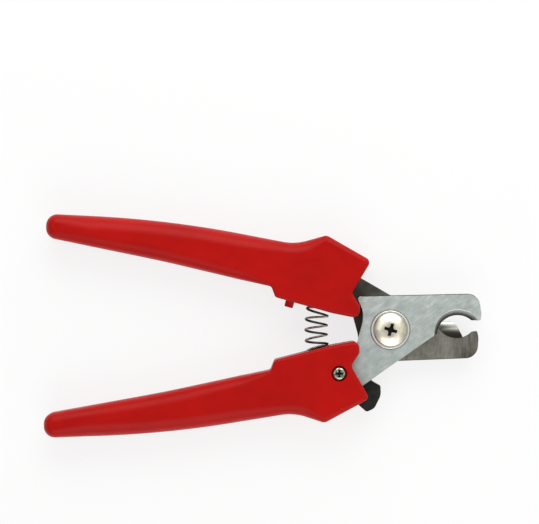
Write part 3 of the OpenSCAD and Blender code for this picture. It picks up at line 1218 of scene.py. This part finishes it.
@dataclass(frozen=True)
class HandlePair:
    """The two moulded handles, with the slot of the blade, the spring's seats, the lock's pocket and the peg."""

    stack: Stack
    pivots: Pivots
    blades: BladePair
    lever: "LockSet"
    seam: float = 0.14
    seam_depth: float = 0.1
    edge_faces: int = 7
    edge_fall: float = 1.15
    side_flat: float = 0.8
    counterbore_radius: float = 3
    counterbore_floor: float = 13.1
    lock_wall: float = 1.6
    peg_x: float = 38.3
    peg: Vector = Vector((3.3, 3.6, 6))
    peg_root: float = 1.2
    peg_edge: float = 0.45
    corners: tuple[Corner, ...] = (
        Corner(-45.6, -15.4, 1.5, 1.3),
        Corner(-57, -17.6, 60, 4.2),
        Corner(-86, -23.8, 500, 5.4),
        Corner(-131.6, -32.15, 4.27, 3.9),
        Corner(-131.6, -41.05, 4.27, 3.9),
        Corner(-86, -40, 400, 6),
        Corner(-37, -31.7, 20, 4.6),
        Corner(-25, -35.3, 2.4, 2.3),
        Corner(-7.9, -26, 2, 1.9),
        Corner(-15, -13.6, 2, 1.5),
        Corner(-11.85, -8.8, 2.2, 1.5),
        Corner(-12, -4, 2.4, 1.3),
        Corner(-22.3, -5.8, 40, 1.2),
        Corner(-44, -11.4, 1.3, 1.1),
    )

    def body(self, name: str) -> bpy.types.Object:
        """Models the moulding before it is cut, with its seam and its rounded edges.

        Args:
            name: Name of the piece.

        Returns:
            The moulding, in the lower half's place.
        """
        points = rounded_outline(self.corners, 2.5)
        middle, half = self.stack.middle, self.stack.thickness / 2
        turns = [k / self.edge_faces for k in range(self.edge_faces, -1, -1)]
        below = [(turn, -1) for turn in turns]
        above = [(turn, 1) for turn in reversed(turns)]
        rings = below + [(0, 0), (0, 0)] + above
        handle = plate(name, [p.place for p in points], range(len(rings)))
        inward = [
            (points[(i + 1) % len(points)].place - points[i - 1].place).normalized().orthogonal()
            for i in range(len(points))
        ]
        nearest = KDTree(len(points))
        for i, point in enumerate(points):
            nearest.insert(point.place.to_3d(), i)
        nearest.balance()
        # No operator draws each point in by its own amount, so the rings are shaped here
        for vertex in handle.data.vertices:
            place = vertex.co / MM
            i, ring = nearest.find(place.xy.to_3d())[1], round(place.z)
            turn, side = rings[ring]
            reach = points[i].rounding
            fall = min(reach * self.edge_fall, half - self.side_flat / 2)
            drawn = points[i].place + inward[i] * reach * (1 - math.cos(turn * math.pi / 2))
            height = middle + side * (half - fall * (1 - math.sin(turn * math.pi / 2)))
            if side == 0:
                height = middle + self.seam / 2 * (1 if ring > len(below) else -1)
            vertex.co = Vector((drawn.x, drawn.y, height)) * MM
        self.press_seam(handle)
        return handle

    def press_seam(self, handle: bpy.types.Object) -> None:
        """Presses the mould's parting line into the side of a handle."""
        edit(handle)
        bpy.ops.mesh.select_all(action="DESELECT")
        close_edit()
        for face in handle.data.polygons:
            face.select = abs(face.normal.z) < 0.1 and abs(face.center.z - self.stack.middle * MM) < 1e-5
        bpy.ops.object.mode_set(mode="EDIT")
        bpy.ops.mesh.extrude_region_shrink_fatten(
            TRANSFORM_OT_shrink_fatten={"value": -self.seam_depth * MM}
        )
        close_edit()

    def stop_peg(self) -> bpy.types.Object:
        """Models the peg that stops the handles when they close."""
        along, root = self.pivots.edge_way, self.pivots.edge_at(-self.peg_x)
        peg = block("stop_peg", self.peg, Vector((0, self.peg.y / 2 - self.peg_root, 0)))
        soften(peg, self.peg_edge, 3)
        turn = Matrix.Rotation(math.atan2(along.y, along.x), 4, "Z")
        peg.matrix_world = Matrix.Translation((root + Vector((0, 0, self.stack.middle))) * MM) @ turn
        return at_origin(peg)

    def build(self, side: Side) -> bpy.types.Object:
        """Models and dresses one handle.

        Args:
            side: Half that the handle belongs to.

        Returns:
            The handle.
        """
        handle = self.body(f"{side.value}_handle_moulding")
        tools = [self.blades.blank(side, 0.01), self.blades.spring_seat()]
        if side is Side.LOWER:
            tools += self.lever.pocket_tools(self.stack)
            top = self.stack.thickness + 1
            for radius, low in (
                (self.pivots.lock_screw / 2, self.lock_wall),
                (self.counterbore_radius, self.counterbore_floor),
            ):
                profile = [(0, low), (radius, low), (radius, top), (0, top)]
                tools.append(turned("bore_tool", profile, self.pivots.lock, 64))
        shape(handle, tools)
        if side is Side.UPPER:
            shape(handle, [self.stop_peg()], Cut.ONTO)
        soften(handle, 0)
        put_on(handle, RED_PLASTIC)
        self.stack.turn_over(handle, side)
        hand_over(handle, side.body, f"{side.value}_handle")
        return handle


def cross_tools(centre: Vector, span: float, width: float, depth: float, turn: float) -> list[bpy.types.Object]:
    """Models the tools that press a cross recess into a screw's head.

    Args:
        centre: Middle of the recess at the top of the head.
        span: Length of the cross.
        width: Width of its arms.
        depth: Its depth.
        turn: Turn of the cross about its axis.

    Returns:
        The two wing tools and the point in their middle.
    """
    tools = []
    narrow, thin = 0.5, 0.7
    for quarter in (0, 90):
        size = Vector((span * 2 / (1 + narrow), width * 2 / (1 + thin), depth * 2))
        wing = block("cross_wing", size, Vector((0, 0, 0)), Vector((narrow, thin, 1)))
        spot = Matrix.Translation(centre * MM)
        wing.matrix_world = spot @ Matrix.Rotation(math.radians(turn + quarter), 4, "Z")
        tools.append(at_origin(wing))
    tip = [(0, -depth * 1.15), (width * 0.45, -depth), (width * 1.15, 0), (width * 1.3, 1), (0, 1)]
    tools.append(turned("cross_point", tip, centre, 32))
    return tools


def darken_recess(screw: bpy.types.Object, crown: Vector, span: float, round_radius: float = 1e4) -> None:
    """Gives the walls and the floor of a cross recess the screw's second finish, a painted shade.

    Args:
        screw: The screw.
        crown: Middle of the recess at the top of the head.
        span: Length of the cross.
        round_radius: Radius of the head's dome.
    """
    for face in screw.data.polygons:
        away = face.center / MM - crown
        reach = away.xy.length
        dome = math.sqrt(round_radius**2 - min(reach, span) ** 2) - round_radius
        steep = face.normal.z < 0.8 and away.z < dome + 0.01
        if reach < span / 2 + 0.1 and away.z > -span / 2 and (steep or away.z < dome - 0.06):
            face.material_index = 1


@dataclass(frozen=True)
class PivotSet:
    """The pivot screw with its two washers and its nut."""

    stack: Stack
    pivots: Pivots
    shaft: float = 6
    head: float = 12.8
    head_height: float = 2.5
    head_rim: float = 0.5
    thread_end: float = 0.4
    front_washer: float = 14.6
    rear_washer: float = 12.4
    washer_hole: float = 6.3
    nut_flats: float = 10
    cross_span: float = 5.2
    cross_width: float = 1.1
    cross_depth: float = 1.7
    cross_turn: float = -17
    dome_faces: int = 12

    @property
    def dome_radius(self) -> float:
        """Radius of the screw's domed head."""
        half, rise = self.head / 2, self.head_height - self.head_rim
        return (half * half + rise * rise) / (2 * rise)

    def dome(self) -> list[tuple[float, float]]:
        """Returns the profile of the screw's domed head, from its rim to its crown."""
        base, rise = self.stack.head + self.head_rim, self.head_height - self.head_rim
        radius = self.dome_radius
        reach = math.asin(self.head / 2 / radius)
        return [
            (radius * math.sin(at), base + rise - radius + radius * math.cos(at))
            for at in (reach * (1 - k / self.dome_faces) for k in range(self.dome_faces))
        ] + [(0, base + rise)]

    def screw(self) -> bpy.types.Object:
        """Models and dresses the pivot screw."""
        half, head, end = self.shaft / 2, self.stack.head, self.thread_end
        rim = self.head / 2
        profile = [(0, end), (half - 0.5, end), (half, end + 0.5), (half, head), (rim - 0.15, head)]
        profile += [(rim, head + 0.15)] + self.dome()
        screw = turned("pivot_screw_plated", profile, Vector((0, 0, 0)), 96)
        crown = Vector((0, 0, head + self.head_height))
        shape(screw, cross_tools(crown, self.cross_span, self.cross_width, self.cross_depth, self.cross_turn))
        soften(screw, 0.06, 1, 35)
        put_on(screw, SCREW_NICKEL, RECESS_SHADE)
        darken_recess(screw, crown, self.cross_span, self.dome_radius)
        hand_over(screw, "lower_half", "pivot_screw")
        return screw

    def washer(self, name: str, low: float, thickness: float, diameter: float) -> bpy.types.Object:
        """Models and dresses a washer.

        Args:
            name: Node that it stands for.
            low: Height of its lower face.
            thickness: Its thickness.
            diameter: Its outer diameter.

        Returns:
            The washer.
        """
        inner, outer, high = self.washer_hole / 2, diameter / 2, low + thickness
        ring = [(inner, low), (outer, low), (outer, high), (inner, high), (inner, low)]
        washer = turned(f"{name}_plated", ring, Vector((0, 0, 0)), 96)
        soften(washer, 0.28, 4)
        put_on(washer, WASHER_STEEL)
        hand_over(washer, "lower_half", name)
        return washer

    def nut(self) -> bpy.types.Object:
        """Models and dresses the nut: a hexagon whose corners are turned down."""
        top = self.stack.nut_top
        deselect()
        corner = self.nut_flats / 2 / math.cos(math.pi / 6)
        bpy.ops.mesh.primitive_cylinder_add(
            vertices=6, radius=corner * MM, depth=top * MM, location=(0, 0, top / 2 * MM)
        )
        nut = bpy.context.object
        nut.name = nut.data.name = "pivot_nut_plated"
        at_origin(nut)
        flat, out = self.nut_flats / 2 - 0.1, corner + 0.3
        rise = (out - flat) * math.tan(math.radians(30))
        barrel = [(0, 0), (flat, 0), (out, rise), (out, top - rise), (flat, top), (0, top)]
        shape(nut, [turned("corner_tool", barrel, Vector((0, 0, 0)), 96)], Cut.WITHIN)
        bore = self.shaft / 2
        inlet = [(0, -1), (bore + 1.5, -1), (bore, 0.5), (bore, top + 1), (0, top + 1)]
        shape(nut, [turned("bore_tool", inlet, Vector((0, 0, 0)), 64)])
        soften(nut, 0.08, 2)
        put_on(nut, NICKEL)
        hand_over(nut, "lower_half", "pivot_nut")
        return nut

    def build(self) -> list[bpy.types.Object]:
        """Models and dresses the whole set."""
        low = self.stack.nut_top
        return [
            self.screw(),
            self.washer("front_washer", self.stack.front_top, self.stack.front_washer, self.front_washer),
            self.washer("rear_washer", low, self.stack.rear_washer, self.rear_washer),
            self.nut(),
        ]


@dataclass(frozen=True)
class GuardPlate:
    """The guard plate behind the blades: an eye on the pivot, and an arm curved across its width."""

    stack: Stack
    pivots: Pivots
    eye: float = 16
    length: float = 28
    curve: float = 9.5
    setback: float = 0.3
    crown: float = -3.2
    bend: float = 7
    edge: float = 0.18

    def build(self) -> bpy.types.Object:
        """Models and dresses the guard plate."""
        top, thick = self.stack.guard_top, self.stack.guard
        axis = Vector((self.bend, self.crown, top - self.setback - self.curve))
        inner = self.curve - thick
        shell = [(inner, 0), (self.curve, 0), (self.curve, self.length), (inner, self.length), (inner, 0)]
        guard = turned("guard_plate_pressed", shell, axis, 160, Vector((1, 0, 0)))
        corners = [
            Corner(0, 3.3),
            Corner(0, -6),
            Corner(self.length + 0.4, -8.2, 3),
            Corner(self.length + 0.2, -3.2, 6),
            Corner(self.length - 3, 2.8, 3),
        ]
        arm = plate("arm_tool", [p.place for p in rounded_outline(corners, 99)], (-1, top))
        shape(guard, [arm], Cut.WITHIN)
        low, hole = top - thick, self.pivots.pivot_hole / 2
        eye = turned("guard_eye", [(0, low), (self.eye / 2, low), (self.eye / 2, top), (0, top)], Vector((0, 0, 0)), 96)
        shape(guard, [eye], Cut.ONTO)
        shape(guard, [turned("drill", [(0, -1), (hole, -1), (hole, top + 1), (0, top + 1)], Vector((0, 0, 0)), 64)])
        soften(guard, self.edge, 2, 35)
        put_on(guard, GUARD_STEEL)
        hand_over(guard, "guard", "guard_plate")
        return guard


@dataclass(frozen=True)
class ReturnSpring:
    """The compression spring between the handles, with a closed turn at each end.

    Its centre line is bent to an arc, because it starts and ends square to the floors of the two seats.
    """

    stack: Stack
    pivots: Pivots
    diameter: float = 9.1
    wire: float = 0.9
    turns: float = 8.3
    seat_gap: float = 0.05
    closed_rise: float = 1.12
    wire_start: float = 172
    wire_faces: int = 14
    turn_steps: int = 30

    def build(self) -> bpy.types.Object:
        """Models and dresses the spring."""
        half_open = math.radians(self.stack.upper_open / 2)
        lean = math.asin(self.pivots.edge_way.y) + half_open
        end = Matrix.Rotation(half_open, 3, "Z") @ self.pivots.seat_floor
        bend = -end.y / math.sin(lean)
        half_length = bend * lean - self.seat_gap - self.wire / 2
        spring = self.straight(half_length)
        centre = Vector((end.x + bend * math.cos(lean), 0, self.stack.middle))
        back = Matrix.Rotation(-half_open, 3, "Z")
        # No operator bends a mesh to a given arc, so its points are moved here
        for vertex in spring.data.vertices:
            side, along, height = vertex.co / MM
            turn, reach = along / bend, bend - side
            place = centre + Vector((-reach * math.cos(turn), reach * math.sin(turn), height))
            vertex.co = back @ place * MM
        deselect()
        spring.select_set(True)
        bpy.context.view_layer.objects.active = spring
        bpy.ops.object.shade_smooth_by_angle(angle=math.radians(50))
        put_on(spring, SPRING_STEEL)
        reach = Vector((0, half_length - 1, 0))
        Side.LOWER.body
        Side.UPPER.body
        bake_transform(spring)
        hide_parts("return_spring")
        LOG.info("%s: %d faces, between both halves", spring.name, len(spring.data.polygons))
        return spring

    def straight(self, half_length: float) -> bpy.types.Object:
        """Models the spring before it is bent, by sweeping the wire's section round it step by step.

        Args:
            half_length: Distance from the spring's middle to the middle of the wire at each end.

        Returns:
            The spring, with its axis along Y through the origin.
        """
        end_rise = self.wire * self.closed_rise
        pitch = (2 * half_length - 2 * end_rise) / (self.turns - 2)
        radius = (self.diameter - self.wire) / 2
        start = math.radians(self.wire_start)
        place = Vector((radius * math.cos(start), -half_length, radius * math.sin(start)))
        deselect()
        bpy.ops.mesh.primitive_circle_add(
            vertices=self.wire_faces,
            radius=self.wire / 2 * MM,
            fill_type="NGON",
            location=place * MM,
            rotation=(0, -start, 0),
        )
        spring = bpy.context.object
        spring.name = spring.data.name = "return_spring_coiled"
        at_origin(spring)
        edit(spring)
        for step in range(round(self.turns * self.turn_steps)):
            done = (step + 0.5) / self.turn_steps
            closed = done < 1 or done > self.turns - 1
            rise = (end_rise if closed else pitch) / self.turn_steps
            bpy.ops.mesh.extrude_region_move(TRANSFORM_OT_translate={"value": (0, rise * MM, 0)})
            bpy.ops.transform.rotate(
                value=math.tau / self.turn_steps, orient_axis="Y", center_override=(0, 0, 0)
            )
        bpy.ops.mesh.select_all(action="SELECT")
        bpy.ops.mesh.normals_make_consistent(inside=False)
        close_edit()
        return spring


@dataclass(frozen=True)
class LockSet:
    """The lock lever and the screw that it turns on."""

    pivots: Pivots
    swing: float = 13.5
    eye: float = 8.4
    gap: float = 0.08
    clear: float = 0.25
    hole: float = 3.1
    hook: Vector = Vector((12.84, -0.45))
    foot: Vector = Vector((10.6, -15))
    edge: float = 0.35
    head: float = 4.9
    head_height: float = 1.5
    head_floor: float = 13.1
    screw_tip: float = 1.6

    def corners(self) -> list[Corner]:
        """Returns the corners of the lever, measured from its screw."""

        def edge_turn(point: Vector, side: int) -> float:
            """Returns the direction of the line from a point that touches the eye on a side."""
            away = math.atan2(-point.y, -point.x) % math.tau
            return away + side * math.asin(self.eye / 2 / point.length)

        hook_turn, foot_turn = edge_turn(self.hook, -1), edge_turn(self.foot, 1)
        apart = (hook_turn - foot_turn) / 2
        middle = (hook_turn + foot_turn) / 2
        reach = self.eye / 2 / math.sin(apart)
        return [
            Corner(reach * math.cos(middle), reach * math.sin(middle), self.eye / 2),
            Corner(self.foot.x, self.foot.y, 1.2),
            Corner(13.6, -13.6, 3),
            Corner(16.1, -8.6, 6),
            Corner(15.9, -4.95, 0.7),
            Corner(12.5, -3, 0.5),
            Corner(self.hook.x, self.hook.y, 0.4),
        ]

    def blank(self, stack: Stack, turn: float, levels: Sequence[float]) -> bpy.types.Object:
        """Makes the lever's outline solid at one turn of the lever.

        Args:
            stack: Not used.
            turn: Turn of the lever from rest.
            levels: Heights of its lower and upper face.

        Returns:
            The solid.
        """
        piece = plate("lever_blank", [p.place for p in rounded_outline(self.corners(), 99)], levels)
        spot = Matrix.Translation(self.pivots.lock * MM)
        piece.matrix_world = spot @ Matrix.Rotation(math.radians(turn), 4, "Z")
        return at_origin(piece)

    def pocket_tools(self, stack: Stack) -> list[bpy.types.Object]:
        """Returns the tools that clear the lever's pocket in the handle, at rest and swung."""
        return [self.blank(stack, turn, (stack.rear_blade, stack.front_blade)) for turn in (0, self.swing)]

    def build(self, stack: Stack) -> list[bpy.types.Object]:
        """Models and dresses the lever and its screw.

        Args:
            stack: Layers of the tool.

        Returns:
            The lever and the screw.
        """
        low, high = stack.rear_blade + self.gap, stack.front_blade - self.gap
        lever = self.blank(stack, 0, (low, high))
        lever.name = lever.data.name = "lock_lever_blacked"
        radius = self.hole / 2
        drill = [(0, low - 1), (radius, low - 1), (radius, high + 1), (0, high + 1)]
        shape(lever, [turned("drill", drill, self.pivots.lock, 48)])
        soften(lever, self.edge, 3)
        put_on(lever, BLACK_STEEL)
        hand_over(lever, "lock", "lock_lever")
        return [lever, self.screw()]

    def screw(self) -> bpy.types.Object:
        """Models and dresses the lock screw, with its cross recess."""
        half, rim, floor = self.pivots.lock_screw / 2, self.head / 2, self.head_floor
        top = floor + self.head_height
        profile = [(0, self.screw_tip), (half, self.screw_tip), (half, floor), (rim, floor)]
        profile += [(rim, top - 0.5), (rim * 0.88, top - 0.18), (rim * 0.6, top), (0, top)]
        screw = turned("lock_screw_plated", profile, self.pivots.lock, 64)
        crown = self.pivots.lock + Vector((0, 0, top))
        shape(screw, cross_tools(crown, self.head * 0.62, 0.7, 0.9, 0))
        soften(screw, 0.05, 1, 35)
        put_on(screw, LOCK_ZINC, RECESS_SHADE)
        darken_recess(screw, crown, self.head * 0.62)
        hand_over(screw, "lower_half", "lock_screw")
        return screw


# Studio


@dataclass(frozen=True)
class SoftLight:
    """Soft box that lights the tool."""

    name: str
    place: Vector
    power: float
    width: float
    height: float
    tint: str = "#ffffff"

    def build(self, target: Vector) -> bpy.types.Object:
        """Adds the light and aims it.

        Args:
            target: Point that it shines at.

        Returns:
            The light.
        """
        deselect()
        bpy.ops.object.light_add(type="AREA", location=self.place)
        lamp = bpy.context.object
        lamp.name = self.name
        lamp.rotation_euler = (target - self.place).to_track_quat("-Z", "Y").to_euler()
        lamp.data.shape = "RECTANGLE"
        lamp.data.size, lamp.data.size_y = self.width, self.height
        lamp.data.energy = self.power
        lamp.data.color = linear(self.tint)[:3]
        return lamp


@dataclass(frozen=True)
class Studio:
    """White floor, soft light and a camera straight above the tool."""

    centre: Vector = Vector((-0.0459, 0.0257, 0))
    level: float = 0.01
    frame_width: float = 0.2048
    lens: float = 150
    sensor: float = 36
    floor_size: float = 6
    floor_drop: float = 0.0001
    white: str = "#ffffff"
    world_strength: float = 0.36
    shadow_share: float = 0.22
    lights: tuple[SoftLight, ...] = (
        SoftLight("soft_box_far", Vector((0.02, 0.62, 0.42)), 5.2, 0.9, 0.62),
        SoftLight("soft_box_near", Vector((0.02, -0.62, 0.42)), 3.2, 0.9, 0.62),
        SoftLight("soft_box_left", Vector((-0.55, 0.12, 0.62)), 0.45, 0.4, 0.3),
        SoftLight("soft_box_right", Vector((0.6, 0, 0.62)), 0.6, 0.5, 0.6, "#fbfbe6"),
    )

    def light_path(self, tree: bpy.types.NodeTree) -> bpy.types.NodeSocket:
        """Returns 1 for rays from the camera, a gloss or a clear surface, and 0 for the rest."""
        path = add_node(tree, "ShaderNodeLightPath")
        seen = add_node(
            tree,
            "ShaderNodeMath",
            {"operation": "MAXIMUM"},
            {0: path.outputs["Is Camera Ray"], 1: path.outputs["Is Glossy Ray"]},
        )
        both = add_node(
            tree,
            "ShaderNodeMath",
            {"operation": "MAXIMUM"},
            {0: seen.outputs[0], 1: path.outputs["Is Transmission Ray"]},
        )
        return both.outputs[0]

    def floor(self) -> bpy.types.Object:
        """Adds the floor, a matt white sheet that keeps the tool's shadow."""
        deselect()
        bpy.ops.mesh.primitive_plane_add(
            size=self.floor_size, location=(self.centre.x, self.centre.y, -self.floor_drop)
        )
        floor = at_origin(bpy.context.object)
        floor.name = floor.data.name = "studio_floor"
        material = bpy.data.materials.new("matt_white_sheet")
        material.use_nodes = True
        tree = material.node_tree
        tree.nodes.clear()
        paper = add_node(tree, "ShaderNodeBsdfDiffuse", {"Color": linear("#f2f2f2")})
        glow = add_node(tree, "ShaderNodeEmission", {"Color": linear(self.white), "Strength": 1.0})
        share = add_node(
            tree,
            "ShaderNodeMath",
            {"operation": "MULTIPLY", 1: 1 - self.shadow_share},
            {0: self.light_path(tree)},
        )
        mixed = add_node(
            tree, "ShaderNodeMixShader", None, {0: share.outputs[0], 1: paper.outputs[0], 2: glow.outputs[0]}
        )
        add_node(tree, "ShaderNodeOutputMaterial", None, {"Surface": mixed.outputs[0]})
        floor.data.materials.append(material)
        return floor

    def world(self) -> None:
        """Surrounds the tool with even white light, which the camera sees as white."""
        world = bpy.data.worlds.new("studio_air")
        bpy.context.scene.world = world
        world.use_nodes = True
        tree = world.node_tree
        tree.nodes.clear()
        path = add_node(tree, "ShaderNodeLightPath")
        strength = add_node(
            tree,
            "ShaderNodeMapRange",
            {"To Min": self.world_strength, "To Max": 1.0},
            {"Value": path.outputs["Is Camera Ray"]},
        )
        air = add_node(
            tree,
            "ShaderNodeBackground",
            {"Color": linear(self.white)},
            {"Strength": strength.outputs["Result"]},
        )
        add_node(tree, "ShaderNodeOutputWorld", None, {"Surface": air.outputs[0]})

    def camera(self) -> bpy.types.Object:
        """Adds the camera, which looks straight down."""
        distance = self.frame_width * self.lens / self.sensor
        deselect()
        bpy.ops.object.camera_add(
            location=(self.centre.x, self.centre.y, self.level + distance), rotation=(0, 0, 0)
        )
        camera = bpy.context.object
        camera.name = "camera_above"
        camera.data.lens = self.lens
        camera.data.sensor_width = self.sensor
        camera.data.clip_start = 0.01
        camera.data.clip_end = 20
        bpy.context.scene.camera = camera
        return camera

    def build(self) -> None:
        """Sets up the whole studio."""
        self.floor()
        self.world()
        target = Vector((self.centre.x, 0, self.level))
        for light in self.lights:
            light.build(target)
        self.camera()
        bpy.context.scene.view_settings.view_transform = "Standard"


def main() -> None:
    """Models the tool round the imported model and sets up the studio."""
    logging.basicConfig(level=logging.INFO, format="%(name)s: %(message)s")
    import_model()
    stack, pivots = Stack(), Pivots()
    blades, lock = BladePair(stack, pivots), LockSet(pivots)
    handles = HandlePair(stack, pivots, blades, lock)
    for side in Side:
        handles.build(side)
        blades.build(side)
    PivotSet(stack, pivots).build()
    GuardPlate(stack, pivots).build()
    ReturnSpring(stack, pivots).build()
    lock.build(stack)
    Studio().build()


if __name__ == "__main__":
    main()
